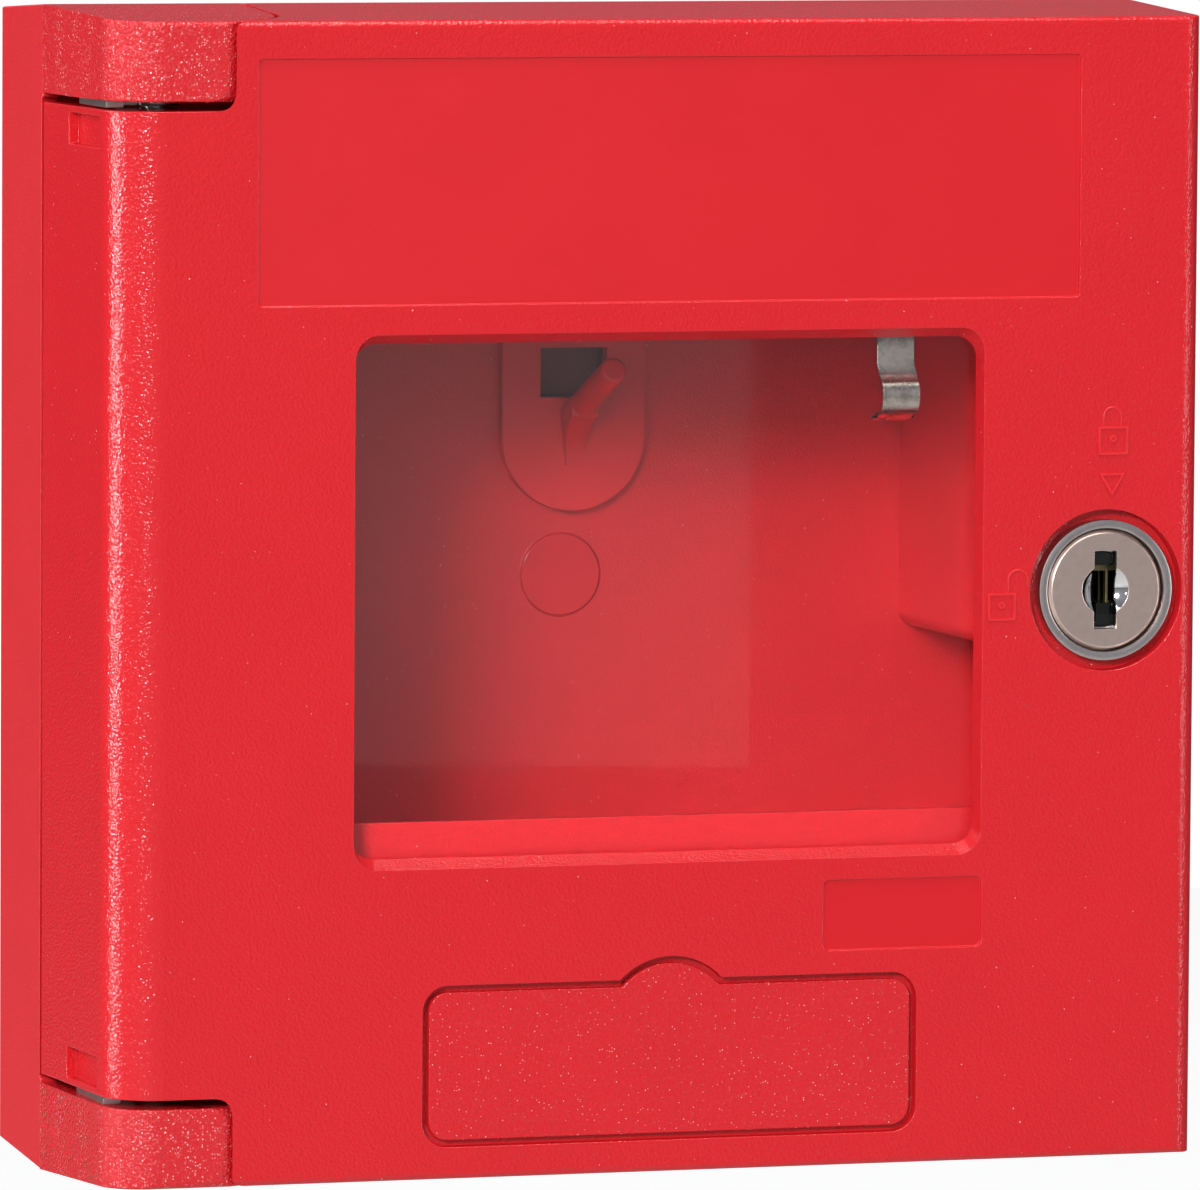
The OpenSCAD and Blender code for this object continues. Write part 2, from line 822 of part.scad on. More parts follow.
// Knuckle bosses, pane guides, clip post, lock boss and ribs inside the door.
module door_inner_parts() {
    inner_front = wall / 2 - box_d;
    for (mz = [0, 1])
        mirror([0, 0, mz])
            translate([hinge_x, hinge_y, knuckle_z - knuckle_len - 1]) {
                cylinder(r = knuckle_r, h = knuckle_len);
                translate([-hinge_in, -knuckle_web_t / 2, 0])
                    cube([hinge_in, knuckle_web_t, knuckle_len]);
                translate([-knuckle_web_t / 2, 1 - hinge_back, 0])
                    cube([knuckle_web_t, hinge_back - 1, knuckle_len]);
            }
    translate([window_x, 0, window_z]) {
        for (mx = [0, 1])
            mirror([mx, 0, 0]) pane_guide(pane_w / 2, pane_h, guide_lap);
        rotate([0, 90, 0]) pane_guide(pane_h / 2, pane_w, low_guide_lap);
    }
    translate([clip_x, 0, clip_hole_z])
        difference() {
            front_cylinder(clip_post_r, inner_front, clip_post_y);
            front_cylinder(small_screw_r, inner_front + clip_screw_bite, clip_post_y + 1);
        }
    at_lock() front_cylinder(lock_boss_r, inner_front, lock_boss_back);
    for (x = [rib_low_x, rib_high_x])
        translate([x, inner_front, -half_h])
            cube([rib_t, rib_deep, face_h]);
}

// L-shaped guide that the pane's edge slides behind, reach away from its middle.
module pane_guide(reach, len, lap) {
    hook_y = pane_back + pane_clear;
    translate([reach + pane_clear, wall / 2 - box_d, -len / 2])
        cube([guide_t, hook_y + guide_t - wall / 2 + box_d, len]);
    translate([reach - lap, hook_y, -len / 2])
        cube([guide_t + lap + pane_clear, guide_t, len]);
}

// Shallow oblong sink over each knuckle, on the hinge side.
module knuckle_recess() {
    sink = 0.6;
    sink_len = 12;
    sink_h = 3.8;
    sink_down = 0.8;
    translate([-half_w - 3, hinge_y - sink_len / 2, knuckle_z - sink_h - sink_down])
        cube([3 + sink, sink_len, sink_h]);
}

module window_hole() {
    translate([window_x, 0, window_z])
        hull() {
            front_extrude(-box_d - 1, -box_d + 0.1)
                rounded_2d(window_wide, window_h, window_r, $fn = 32);
            front_extrude(pane_front - 0.1, pane_front + 1)
                rounded_2d(window_wide - 2 * bevel_side, window_h - 2 * bevel_end,
                    window_r - 0.6, $fn = 32);
        }
}

// The label recess, the bare plate recess and the lower cover's pocket.
module face_recesses() {
    translate([label_x, 0, label_z])
        front_extrude(-box_d - 1, -box_d + label_deep) rounded_2d(label_wide, label_h, 0.5);
    translate([plate_x, 0, plate_z])
        front_extrude(-box_d - 1, -box_d + label_deep) rounded_2d(plate_w, plate_h, 0.8);
    translate([cover_x, 0, cover_z]) {
        front_extrude(-box_d - 1, -box_d + pocket_deep) cover_2d(0);
        for (side = [-1, 1])
            translate([side * peg_x, 0, 0]) front_cylinder(peg_r, -box_d, pane_front + 1);
    }
}

// The lower cover's outline with its half-round tab, drawn in by inset.
module cover_2d(inset) {
    rounded_2d(cover_w - 2 * inset, cover_h - 2 * inset, cover_r - inset);
    intersection() {
        translate([0, cover_h / 2 + tab_h - tab_r]) circle(tab_r - inset);
        translate([-tab_half, 0]) square([2 * tab_half, cover_h]);
    }
}

// Loose cover in the lower pocket, held by two pegs.
module lower_cover() {
    y_back = -box_d + pocket_deep;
    color(red)
        translate([cover_x, 0, cover_z]) {
            front_extrude(y_back - cover_t, y_back) cover_2d(cover_groove);
            for (side = [-1, 1])
                translate([side * peg_x, 0, 0]) front_cylinder(peg_r, y_back - eps, pane_front + peg_beyond);
        }
}

module glass_pane() {
    color([0.8, 0.85, 0.88, 0.35])
        translate([window_x, 0, window_z])
            front_extrude(pane_front, pane_back) square([pane_w, pane_h], center = true);
}

// Leaf spring: a flat leaf, a fold, a slope to the rounded nose on the pane, and a lip.
module pane_clip() {
    color(steel)
        difference() {
            translate([clip_x - clip_w / 2, 0, 0])
                rotate([90, 0, 90])
                    linear_extrude(clip_w)
                        translate([clip_y, clip_nose_z]) clip_2d();
            translate([clip_x, 0, clip_hole_z]) front_cylinder(small_screw_r, clip_y - 2, clip_y + 2);
        }
}

// The clip seen from its side, with the middle of its nose at [0, 0].
module clip_2d() {
    turn = acos(clip_nose_r / clip_fold_up);
    slope_len = clip_fold_up * sin(turn);
    lip_turn = 18;
    leaf_len = clip_top - clip_nose_z - clip_fold_up;
    translate([-clip_t / 2, clip_fold_up - clip_t * 0.3]) square([clip_t, leaf_len + clip_t * 0.3]);
    translate([0, clip_fold_up])
        rotate(turn - 90)
            translate([-clip_t / 2, -slope_len]) square([clip_t, slope_len]);
    difference() {
        circle(clip_nose_r + clip_t / 2);
        circle(clip_nose_r - clip_t / 2);
        translate([0, -5]) square(10);
        polygon([[0, 0], [0, 6], [-6 * tan(turn) + eps, 6]]);
    }
    translate([0, -clip_nose_r])
        rotate(-lip_turn)
            translate([-eps, -clip_t / 2]) square([clip_lip, clip_t]);
}

module pane_clip_screw() {
    color(steel)
        translate([clip_x, 0, clip_hole_z])
            small_screw(clip_y + clip_t / 2 + small_head_t, wall / 2 - box_d + clip_screw_bite);
}

// Lock barrel with its round flange on the face, bored for the plug.
module lock_body() {
    flange_front = lock_seat - flange_t;
    color(steel)
        at_lock()
            difference() {
                union() {
                    translate([0, lock_seat, 0])
                        rotate([90, 0, 0])
                            rotate_extrude()
                                polygon([[0, 0], [flange_r, 0], [flange_r, flange_t - flange_bevel],
                                    [flange_r - flange_bevel, flange_t], [0, flange_t]]);
                    front_cylinder(barrel_r, lock_seat - eps, barrel_back);
                }
                front_cylinder(disc_r + disc_gap, flange_front - 1, flange_front + disc_t + 0.1);
                front_cylinder(plug_r + plug_clear, flange_front, barrel_back + 1);
            }
}

module lock_washer() {
    color(steel)
        at_lock()
            difference() {
                front_cylinder(nut_across / 2, lock_boss_back, lock_boss_back + lock_washer_t);
                front_cylinder(barrel_r, lock_boss_back - 1, lock_boss_back + 2);
            }
}

// Hexagon nut that clamps the lock in the door.
module lock_nut() {
    front = lock_boss_back + lock_washer_t;
    color(steel)
        at_lock()
            difference() {
                front_extrude(front, front + nut_t)
                    circle(r = nut_corner_r, $fn = 6);
                front_cylinder(barrel_r, front - 1, front + nut_t + 1);
            }
}

// Turning plug: its front disc with a dished keyway, the plug and its square tail.
module lock_plug() {
    disc_front = lock_seat - flange_t + disc_low;
    disc_back = lock_seat - flange_t + disc_t;
    deep = disc_back - disc_front;
    color(steel)
        at_lock()
            difference() {
                union() {
                    translate([0, disc_back, 0])
                        rotate([90, 0, 0])
                            rotate_extrude()
                                polygon([[0, 0], [disc_r, 0], [disc_r, deep - disc_bevel],
                                    [disc_r - disc_bevel, deep], [0, deep]]);
                    front_cylinder(plug_r, disc_back - eps, barrel_back + 0.3);
                    front_cylinder(tail_r, barrel_back, cam_front);
                    front_extrude(cam_front - eps, cam_back) square(tail_square, center = true);
                }
                translate([-keyway_w / 2, disc_front - 1, -keyway_h / 2])
                    cube([keyway_w, 1 + deep, keyway_h]);
                front_extrude(disc_back - 0.5, barrel_back - 2.5) keyway_2d();
                translate([0, disc_front - dish_out, 0]) sphere(dish_r);
                front_cylinder(small_screw_r, cam_front, cam_back + 1);
                for (k = [0 : wafer_count - 1])
                    translate([-wafer_w / 2, disc_back + wafer_first + k * wafer_pitch, -plug_r - 1])
                        cube([wafer_w, wafer_t, 2 * plug_r + 2]);
            }
}

// The keyway inside the plug, with its low ward on one side.
module keyway_2d() {
    low = wafer_wall - plug_r;
    polygon([[-keyway_w / 2, low], [ward_x, low], [ward_x, ward_top], [keyway_w / 2, ward_top],
        [keyway_w / 2, keyway_top], [-keyway_w / 2, keyway_top]]);
}

// Brass wafers across the plug, each with its key window.
module lock_wafers() {
    disc_back = lock_seat - flange_t + disc_t;
    color(brass)
        at_lock()
            for (k = [0 : wafer_count - 1])
                translate([0, disc_back + wafer_first + k * wafer_pitch, 0])
                    difference() {
                        intersection() {
                            translate([-wafer_w / 2, 0, -plug_r]) cube([wafer_w, wafer_t, 2 * plug_r]);
                            front_cylinder(plug_r - 0.1, -1, wafer_t + 1);
                        }
                        translate([-wafer_window_w / 2, -1,
                            wafer_window_top - wafer_window_h - 0.2 * (k % 2)])
                            cube([wafer_window_w, wafer_t + 2, wafer_window_h]);
                    }
}

// Cam on the plug's square tail. It points to the lock side when locked.
module lock_cam() {
    color(steel)
        at_lock()
            difference() {
                front_extrude(cam_front, cam_back) {
                    circle(cam_w / 2);
                    intersection() {
                        circle(cam_reach);
                        translate([0, -cam_w / 2]) square([cam_reach, cam_w]);
                    }
                }
                front_extrude(cam_front - 1, cam_back + 1) square(tail_square, center = true);
            }
}

module lock_cam_screw() {
    color(steel)
        at_lock() {
            front_cylinder(small_head_r + 0.4, cam_back, cam_back + small_head_t);
            front_cylinder(small_screw_r, cam_front, cam_back + eps);
        }
}

base_shell();
hinge_cap_top();
hinge_cap_bottom();
hinge_pin_top();
hinge_pin_bottom();
hinge_washer_top();
hinge_washer_bottom();
hinge_cap_screws();
key_hook();
key_hook_screws();
lock_keeper();
lock_keeper_screws();
door_shell();
glass_pane();
pane_clip();
pane_clip_screw();
lower_cover();
lock_body();
lock_washer();
lock_nut();
lock_plug();
lock_wafers();
lock_cam();
lock_cam_screw();
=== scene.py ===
import math

import bpy
from mathutils import Matrix, Vector


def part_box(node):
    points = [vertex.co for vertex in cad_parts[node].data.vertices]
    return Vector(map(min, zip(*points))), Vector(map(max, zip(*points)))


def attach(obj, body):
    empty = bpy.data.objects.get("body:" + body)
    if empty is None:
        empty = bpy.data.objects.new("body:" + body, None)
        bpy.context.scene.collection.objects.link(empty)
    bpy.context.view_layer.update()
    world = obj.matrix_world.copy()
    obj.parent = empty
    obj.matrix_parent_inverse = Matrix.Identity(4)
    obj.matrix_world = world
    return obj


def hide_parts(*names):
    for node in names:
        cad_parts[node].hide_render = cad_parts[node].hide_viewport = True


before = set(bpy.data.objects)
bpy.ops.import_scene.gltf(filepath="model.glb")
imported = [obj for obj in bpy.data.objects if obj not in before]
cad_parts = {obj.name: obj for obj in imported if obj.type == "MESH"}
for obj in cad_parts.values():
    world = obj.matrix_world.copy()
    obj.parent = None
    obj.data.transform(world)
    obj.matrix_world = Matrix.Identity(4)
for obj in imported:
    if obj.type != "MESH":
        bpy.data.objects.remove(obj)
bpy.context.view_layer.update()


# The camera stands well back on the hinge side, a little above the box.
# Its place was worked out from the box's straight edges, with a long lens and no shift.
mm = 0.001
view_turn = math.radians(18.03)
view_rise = math.radians(4.82)
view_roll = math.radians(0.373)
view_distance = 1.4785
view_aim = Vector((1.35 * mm, -23 * mm, -2.16 * mm))
outwards = Vector((-math.sin(view_turn) * math.cos(view_rise),
                   -math.cos(view_turn) * math.cos(view_rise), math.sin(view_rise)))
camera = bpy.data.objects.new("camera", bpy.data.cameras.new("camera"))
bpy.context.scene.collection.objects.link(camera)
camera.data.sensor_width = 36
camera.data.lens = 359.2
camera.data.clip_start = 0.05
camera.data.clip_end = 50
looking = (-outwards).to_track_quat("-Z", "Y").to_matrix() @ Matrix.Rotation(view_roll, 3, "Z")
camera.matrix_world = Matrix.Translation(view_aim + outwards * view_distance) @ looking.to_4x4()
bpy.context.scene.camera = camera
bpy.context.scene.view_settings.view_transform = "Standard"


# The studio lamps: a key light high on the left, a box behind the hinge side that draws
# the white line down the door's corner, weaker boxes on both sides and two overhead.
def soft_light(name, turn, rise, distance, width, height, level):
    """A soft box at these angles from the box; at level 1 it alone lights a facing surface fully."""
    turn, rise = math.radians(turn), math.radians(rise)
    away = Vector((-math.sin(turn) * math.cos(rise), -math.cos(turn) * math.cos(rise), math.sin(rise)))
    lamp = bpy.data.lights.new(name, "AREA")
    lamp.shape = "RECTANGLE"
    lamp.size, lamp.size_y = width, height
    lamp.energy = level * math.pi ** 2 * distance ** 2
    holder = bpy.data.objects.new(name, lamp)
    bpy.context.scene.collection.objects.link(holder)
    lit_point = Vector((0, -30 * mm, 0))
    turned = (-away).to_track_quat("-Z", "Y").to_matrix().to_4x4()
    holder.matrix_world = Matrix.Translation(lit_point + away * distance) @ turned


soft_light("key_light", 33, 19, 2.5, 0.55, 0.42, 0.69)
soft_light("corner_box", 102, 1, 1.6, 0.2, 0.34, 0.34)
soft_light("left_box", 68, 9, 2.0, 0.15, 0.15, 0.05)
soft_light("side_box", 128, 32, 1.8, 0.6, 0.6, 0.3)
soft_light("right_box", -58, 0, 1.8, 0.35, 1.0, 0.16)
soft_light("top_box", 0, 64, 1.5, 1.2, 0.7, 0.35)
soft_light("overhead_box", 0, 88, 1.5, 0.8, 0.8, 0.6)


# The surroundings: white to the camera and through the pane, a pale room in reflections,
# with a brighter card in front of it, and a weak even light on everything.
def number(nodes, links, operation, *values):
    """A math node on numbers or sockets, which gives its result's socket."""
    node = nodes.new("ShaderNodeMath")
    node.operation = operation
    for place, value in enumerate(values):
        if isinstance(value, (int, float)):
            node.inputs[place].default_value = value
        else:
            links.new(value, node.inputs[place])
    return node.outputs[0]


def seen_directly(nodes, links):
    """1 where the camera sees a place itself or through glass, 0 where it only brings light."""
    path = nodes.new("ShaderNodeLightPath")
    bounces = number(nodes, links, "ADD", path.outputs["Diffuse Depth"], path.outputs["Glossy Depth"])
    fresh = number(nodes, links, "LESS_THAN", bounces, 0.5)
    through = number(nodes, links, "MULTIPLY", path.outputs["Is Transmission Ray"], fresh)
    seen = number(nodes, links, "MAXIMUM", path.outputs["Is Camera Ray"], through)
    return path, seen


studio = bpy.data.worlds.new("studio")
bpy.context.scene.world = studio
studio.use_nodes = True
nodes, links = studio.node_tree.nodes, studio.node_tree.links
nodes.clear()
path, seen = seen_directly(nodes, links)
heading = nodes.new("ShaderNodeTexCoord")
parts = nodes.new("ShaderNodeSeparateXYZ")
links.new(heading.outputs["Generated"], parts.inputs[0])
east, north, up = parts.outputs
height = nodes.new("ShaderNodeMapRange")
height.inputs["From Min"].default_value = -1
links.new(up, height.inputs["Value"])
room = nodes.new("ShaderNodeValToRGB")
room_greys = ((0, 0.06), (0.36, 0.12), (0.46, 0.25), (0.7, 0.3), (0.86, 0.2), (1, 0.14))
blue_cast = 1.12
for place, grey in room_greys[1:-1]:
    room.color_ramp.elements.new(place)
for stop, (place, grey) in zip(room.color_ramp.elements, room_greys):
    stop.position, stop.color = place, (grey, grey, grey * blue_cast, 1)
links.new(height.outputs["Result"], room.inputs["Fac"])
ahead = number(nodes, links, "MULTIPLY", north, -1)
side = number(nodes, links, "DIVIDE", east, number(nodes, links, "MAXIMUM", ahead, 0.01))
card_left, card_right = -0.3, math.tan(math.radians(18.75))
card_low, card_high = -math.sin(math.radians(5.64)), 0.3
card_glow = 0.24
card = number(nodes, links, "LESS_THAN", side, card_right)
for limit, value, way in ((card_left, side, "GREATER_THAN"), (card_low, up, "GREATER_THAN"),
                          (card_high, up, "LESS_THAN"), (0.01, ahead, "GREATER_THAN")):
    card = number(nodes, links, "MULTIPLY", card, number(nodes, links, way, value, limit))
behind = nodes.new("ShaderNodeMapRange")
for socket, value in (("From Min", -0.02), ("From Max", 0.05), ("To Min", 0.14), ("To Max", 0.5)):
    behind.inputs[socket].default_value = value
links.new(up, behind.inputs["Value"])
dimmed = number(nodes, links, "MAXIMUM", behind.outputs["Result"],
                number(nodes, links, "GREATER_THAN", ahead, 0.0))
dim_room = nodes.new("ShaderNodeVectorMath")
dim_room.operation = "SCALE"
links.new(room.outputs["Color"], dim_room.inputs[0])
links.new(dimmed, dim_room.inputs["Scale"])
mirrored = nodes.new("ShaderNodeVectorMath")
mirrored.operation = "ADD"
links.new(dim_room.outputs[0], mirrored.inputs[0])
links.new(number(nodes, links, "MULTIPLY", card, card_glow), mirrored.inputs[1])
shown = nodes.new("ShaderNodeMix")
shown.data_type = "RGBA"
links.new(path.outputs["Is Glossy Ray"], shown.inputs["Factor"])
even_light = (0.13, 0.133, 0.145, 1)
shown.inputs[6].default_value = even_light
links.new(mirrored.outputs[0], shown.inputs[7])
sky = nodes.new("ShaderNodeMix")
sky.data_type = "RGBA"
links.new(seen, sky.inputs["Factor"])
links.new(shown.outputs[2], sky.inputs[6])
sky.inputs[7].default_value = (1, 1, 1, 1)
light = nodes.new("ShaderNodeBackground")
links.new(sky.outputs[2], light.inputs["Color"])
out = nodes.new("ShaderNodeOutputWorld")
links.new(light.outputs[0], out.inputs["Surface"])


# The pale studio floor, well below the box, which hangs on a wall that isn't shown.
# It is near white to the camera and keeps the box's shadow.
bpy.ops.object.select_all(action="DESELECT")
bpy.ops.mesh.primitive_plane_add(size=7, location=(0, 0, -0.45))
floor = bpy.context.object
floor.name = "studio_floor"
pale = bpy.data.materials.new("pale_floor")
pale.use_nodes = True
nodes, links = pale.node_tree.nodes, pale.node_tree.links
surface = nodes["Principled BSDF"]
surface.inputs["Base Color"].default_value = (0.5, 0.5, 0.5, 1)
surface.inputs["Roughness"].default_value = 0.9
surface.inputs["Emission Color"].default_value = (1, 1, 1, 1)
path, seen = seen_directly(nodes, links)
floor_glow = 0.84
links.new(number(nodes, links, "MULTIPLY", seen, floor_glow), surface.inputs["Emission Strength"])
floor.data.materials.append(pale)


# The wall base: a shallow tray of red plastic, moulded in one piece with its shelf and
# bosses. Every moulded edge has a small round, which catches the light.
same_corner, sliver, same_face = 0.001 * mm, 0.02 * mm, math.radians(0.3)


def moulded_copy(node, edge, body, steps=3, sharp=35, clamped=False, rounded=lambda middle: True):
    """The CAD node's form as a new piece. Edges sharper than this angle get a round of this size.

    Clamped rounds never reach past a short neighbour, and rounded says which edges to take."""
    bpy.ops.object.select_all(action="DESELECT")
    piece = bpy.data.objects.new(node + "_finished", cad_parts[node].data.copy())
    bpy.context.scene.collection.objects.link(piece)
    piece.select_set(True)
    bpy.context.view_layer.objects.active = piece
    bpy.ops.mesh.customdata_custom_splitnormals_clear()
    bpy.ops.object.mode_set(mode="EDIT")
    bpy.ops.mesh.select_all(action="SELECT")
    bpy.ops.mesh.remove_doubles(threshold=same_corner)
    bpy.ops.mesh.dissolve_degenerate(threshold=sliver)
    bpy.ops.mesh.dissolve_limited(angle_limit=same_face)
    bpy.ops.mesh.select_mode(type="EDGE")
    bpy.ops.mesh.select_all(action="DESELECT")
    bpy.ops.mesh.edges_select_sharp(sharpness=math.radians(sharp))
    bpy.ops.object.mode_set(mode="OBJECT")
    weights = piece.data.attributes.new("bevel_weight_edge", "FLOAT", "EDGE")
    corners = piece.data.vertices
    for rim, weight in zip(piece.data.edges, weights.data):
        middle = (corners[rim.vertices[0]].co + corners[rim.vertices[1]].co) / 2
        weight.value = 1.0 if rim.select and rounded(middle) else 0.0
    rounding = piece.modifiers.new("rounded_edges", "BEVEL")
    rounding.limit_method = "WEIGHT"
    rounding.width = edge
    rounding.segments = steps
    rounding.use_clamp_overlap = clamped
    rounding.miter_outer = "MITER_SHARP"
    rounding.loop_slide = False
    bpy.ops.object.modifier_apply(modifier=rounding.name)
    bpy.ops.object.shade_smooth_by_angle(angle=math.radians(sharp))
    flattening = piece.modifiers.new("flat_faces", "WEIGHTED_NORMAL")
    flattening.keep_sharp = True
    bpy.ops.object.modifier_apply(modifier=flattening.name)
    piece.data.materials.clear()
    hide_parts(node)
    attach(piece, body)
    return piece


def new_group(name, inputs, outputs):
    """An empty shader group with these sockets, given as (name, starting value)."""
    group = bpy.data.node_groups.new(name, "ShaderNodeTree")
    kinds = {float: "NodeSocketFloat", tuple: "NodeSocketColor", Vector: "NodeSocketVector"}
    for label, value in inputs:
        socket = group.interface.new_socket(label, in_out="INPUT", socket_type=kinds[type(value)])
        socket.default_value = value
    for label, kind in outputs:
        group.interface.new_socket(label, in_out="OUTPUT", socket_type="NodeSocket" + kind)
    given, result = group.nodes.new("NodeGroupInput"), group.nodes.new("NodeGroupOutput")
    return group, group.nodes, group.links, given.outputs, result.inputs


def blended(nodes, links, mask, plain, special):
    """Plain where the mask is 0, special where it is 1; each is a colour or a socket."""
    mix = nodes.new("ShaderNodeMix")
    mix.data_type = "RGBA"
    links.new(mask, mix.inputs["Factor"])
    for socket, value in ((mix.inputs[6], plain), (mix.inputs[7], special)):
        if isinstance(value, tuple):
            socket.default_value = value
        else:
            links.new(value, socket)
    return mix.outputs[2]


def mould_grain():
    """The grain that a spark-cut mould leaves on plastic, with a faint mottling of its colour and pale
    specks painted on as glints.
    """
    group, nodes, links, given, result = new_group(
        "mould_grain",
        (("Colour", (1, 0, 0, 1)), ("Bumps per metre", 3000.0), ("Bump height", 0.0001),
         ("Roughness", 0.4), ("Grained", 1.0), ("Painted glint share", 0.0)),
        (("Colour", "Color"), ("Roughness", "Float"), ("Normal", "Vector")))
    place = nodes.new("ShaderNodeTexCoord")
    bumps = nodes.new("ShaderNodeTexVoronoi")
    bumps.feature = "SMOOTH_F1"
    bumps.inputs["Smoothness"].default_value = 0.35
    links.new(place.outputs["Object"], bumps.inputs["Vector"])
    links.new(given["Bumps per metre"], bumps.inputs["Scale"])
    waves = nodes.new("ShaderNodeTexNoise")
    waves.inputs["Detail"].default_value = 2
    waves.inputs["Roughness"].default_value = 0.6
    links.new(place.outputs["Object"], waves.inputs["Vector"])
    links.new(number(nodes, links, "MULTIPLY", given["Bumps per metre"], 0.9), waves.inputs["Scale"])
    relief = number(nodes, links, "SUBTRACT",
                    number(nodes, links, "MULTIPLY", waves.outputs["Fac"], 1.4),
                    bumps.outputs["Distance"])
    bump = nodes.new("ShaderNodeBump")
    links.new(relief, bump.inputs["Height"])
    links.new(given["Grained"], bump.inputs["Strength"])
    links.new(given["Bump height"], bump.inputs["Distance"])
    links.new(bump.outputs["Normal"], result["Normal"])
    cloud = nodes.new("ShaderNodeTexNoise")
    cloud.inputs["Scale"].default_value = 70
    cloud.inputs["Detail"].default_value = 4
    links.new(place.outputs["Object"], cloud.inputs["Vector"])
    shade = nodes.new("ShaderNodeMapRange")
    shade.inputs["To Min"].default_value = 0.95
    shade.inputs["To Max"].default_value = 1.05
    links.new(cloud.outputs["Fac"], shade.inputs["Value"])
    tint = nodes.new("ShaderNodeVectorMath")
    tint.operation = "SCALE"
    links.new(given["Colour"], tint.inputs[0])
    links.new(shade.outputs["Result"], tint.inputs["Scale"])
    # Painted highlights: single facets of the grain are painted pale pink, as glints standing in for the
    # light that the grain catches.
    facets = nodes.new("ShaderNodeTexVoronoi")
    links.new(place.outputs["Object"], facets.inputs["Vector"])
    links.new(number(nodes, links, "MULTIPLY", given["Bumps per metre"], 1.25), facets.inputs["Scale"])
    chosen = nodes.new("ShaderNodeSeparateColor")
    links.new(facets.outputs["Color"], chosen.inputs[0])
    glint_speck = number(nodes, links, "MULTIPLY",
                   number(nodes, links, "LESS_THAN", facets.outputs["Distance"],
                          number(nodes, links, "MULTIPLY_ADD", chosen.outputs[1], 0.2, 0.16)),
                   number(nodes, links, "LESS_THAN", chosen.outputs[0], given["Painted glint share"]))
    pale = number(nodes, links, "MULTIPLY", number(nodes, links, "MULTIPLY", glint_speck, given["Grained"]),
                  number(nodes, links, "MULTIPLY_ADD", chosen.outputs[2], 0.7, 0.3))
    links.new(blended(nodes, links, pale, tint.outputs[0], (0.9, 0.42, 0.42, 1)), result["Colour"])
    links.new(number(nodes, links, "MULTIPLY", given["Roughness"], shade.outputs["Result"]),
              result["Roughness"])
    return group


def inside_box():
    """1 inside a box that is given by its middle and half its size, 0 outside it."""
    group, nodes, links, given, result = new_group(
        "inside_box", (("Middle", Vector((0, 0, 0))), ("Half size", Vector((1, 1, 1)))),
        (("Mask", "Float"),))
    place = nodes.new("ShaderNodeTexCoord")
    last = place.outputs["Object"]
    for operation, other in (("SUBTRACT", given["Middle"]), ("ABSOLUTE", None),
                             ("SUBTRACT", given["Half size"])):
        step = nodes.new("ShaderNodeVectorMath")
        step.operation = operation
        links.new(last, step.inputs[0])
        if other is not None:
            links.new(other, step.inputs[1])
        last = step.outputs[0]
    parts = nodes.new("ShaderNodeSeparateXYZ")
    links.new(last, parts.inputs[0])
    most = number(nodes, links, "MAXIMUM",
                  number(nodes, links, "MAXIMUM", parts.outputs[0], parts.outputs[1]), parts.outputs[2])
    links.new(number(nodes, links, "LESS_THAN", most, 0.0), result["Mask"])
    return group


grain = mould_grain()
box_mask = inside_box()


def in_box(material, middle, half_size):
    """The mask of a box, in millimetres, as a socket in this material."""
    mask = material.node_tree.nodes.new("ShaderNodeGroup")
    mask.node_tree = box_mask
    mask.inputs["Middle"].default_value = Vector(middle) * mm
    mask.inputs["Half size"].default_value = Vector(half_size) * mm
    return mask.outputs["Mask"]


def red_plastic(name, colour, per_metre, height, roughness, painted_glints=0.0):
    """Moulded plastic with its own size and depth of grain, and a share of pale specks painted on as
    glints.
    """
    material = bpy.data.materials.new(name)
    material.use_nodes = True
    nodes, links = material.node_tree.nodes, material.node_tree.links
    surface = nodes["Principled BSDF"]
    texture = nodes.new("ShaderNodeGroup")
    texture.name = "grain"
    texture.node_tree = grain
    texture.inputs["Colour"].default_value = colour
    texture.inputs["Bumps per metre"].default_value = per_metre
    texture.inputs["Bump height"].default_value = height
    texture.inputs["Roughness"].default_value = roughness
    texture.inputs["Painted glint share"].default_value = painted_glints
    links.new(texture.outputs["Colour"], surface.inputs["Base Color"])
    links.new(texture.outputs["Roughness"], surface.inputs["Roughness"])
    links.new(texture.outputs["Normal"], surface.inputs["Normal"])
    return material


red = (0.66, 0.0135, 0.02, 1)
# Its grain has a few pale specks painted on as glints.
base_red = red_plastic("base_red", red, 3600, 0.035 * mm, 0.4, 0.004)
nodes, links = base_red.node_tree.nodes, base_red.node_tree.links
surface, texture = nodes["Principled BSDF"], nodes["grain"]
# The pocket that the hook's core hole opens into is painted a dull dark brown: painted shade, for the
# shadow deep in the hole.
pocket_shade_colour = (0.17, 0.02, 0.024, 1)
shaded_pocket_mask = in_box(base_red, (3.6, -1.6, 24.2), (4.36, 1.02, 3.12))
links.new(blended(nodes, links, shaded_pocket_mask, texture.outputs["Colour"], pocket_shade_colour),
          surface.inputs["Base Color"])
# The cable entry's disc is polished.
polish = 0.2
disc = in_box(base_red, (2.5, -2.75, -1.2), (5.1, 0.1, 5.1))
links.new(number(nodes, links, "SUBTRACT", 1.0, disc), texture.inputs["Grained"])
links.new(number(nodes, links, "SUBTRACT", texture.outputs["Roughness"],
                 number(nodes, links, "MULTIPLY", disc, polish)), surface.inputs["Roughness"])
base = moulded_copy("base_shell", 0.25 * mm, "base")
base.data.materials.append(base_red)


# The two hinge caps: corner blocks of the same plastic with a much coarser grain, which sparkles
# through its bumps and through many pale specks painted on as glints. Each holds a hinge pin, and its
# tongue is screwed to the base from behind.
cap_red = red_plastic("cap_red", red, 2600, 0.13 * mm, 0.13, 0.3)
cap_shows_before = -40 * mm
for end in ("top", "bottom"):
    cap = moulded_copy("hinge_cap_" + end, 0.3 * mm, "base",
                       rounded=lambda middle: middle.y < cap_shows_before)
    cap.data.materials.append(cap_red)
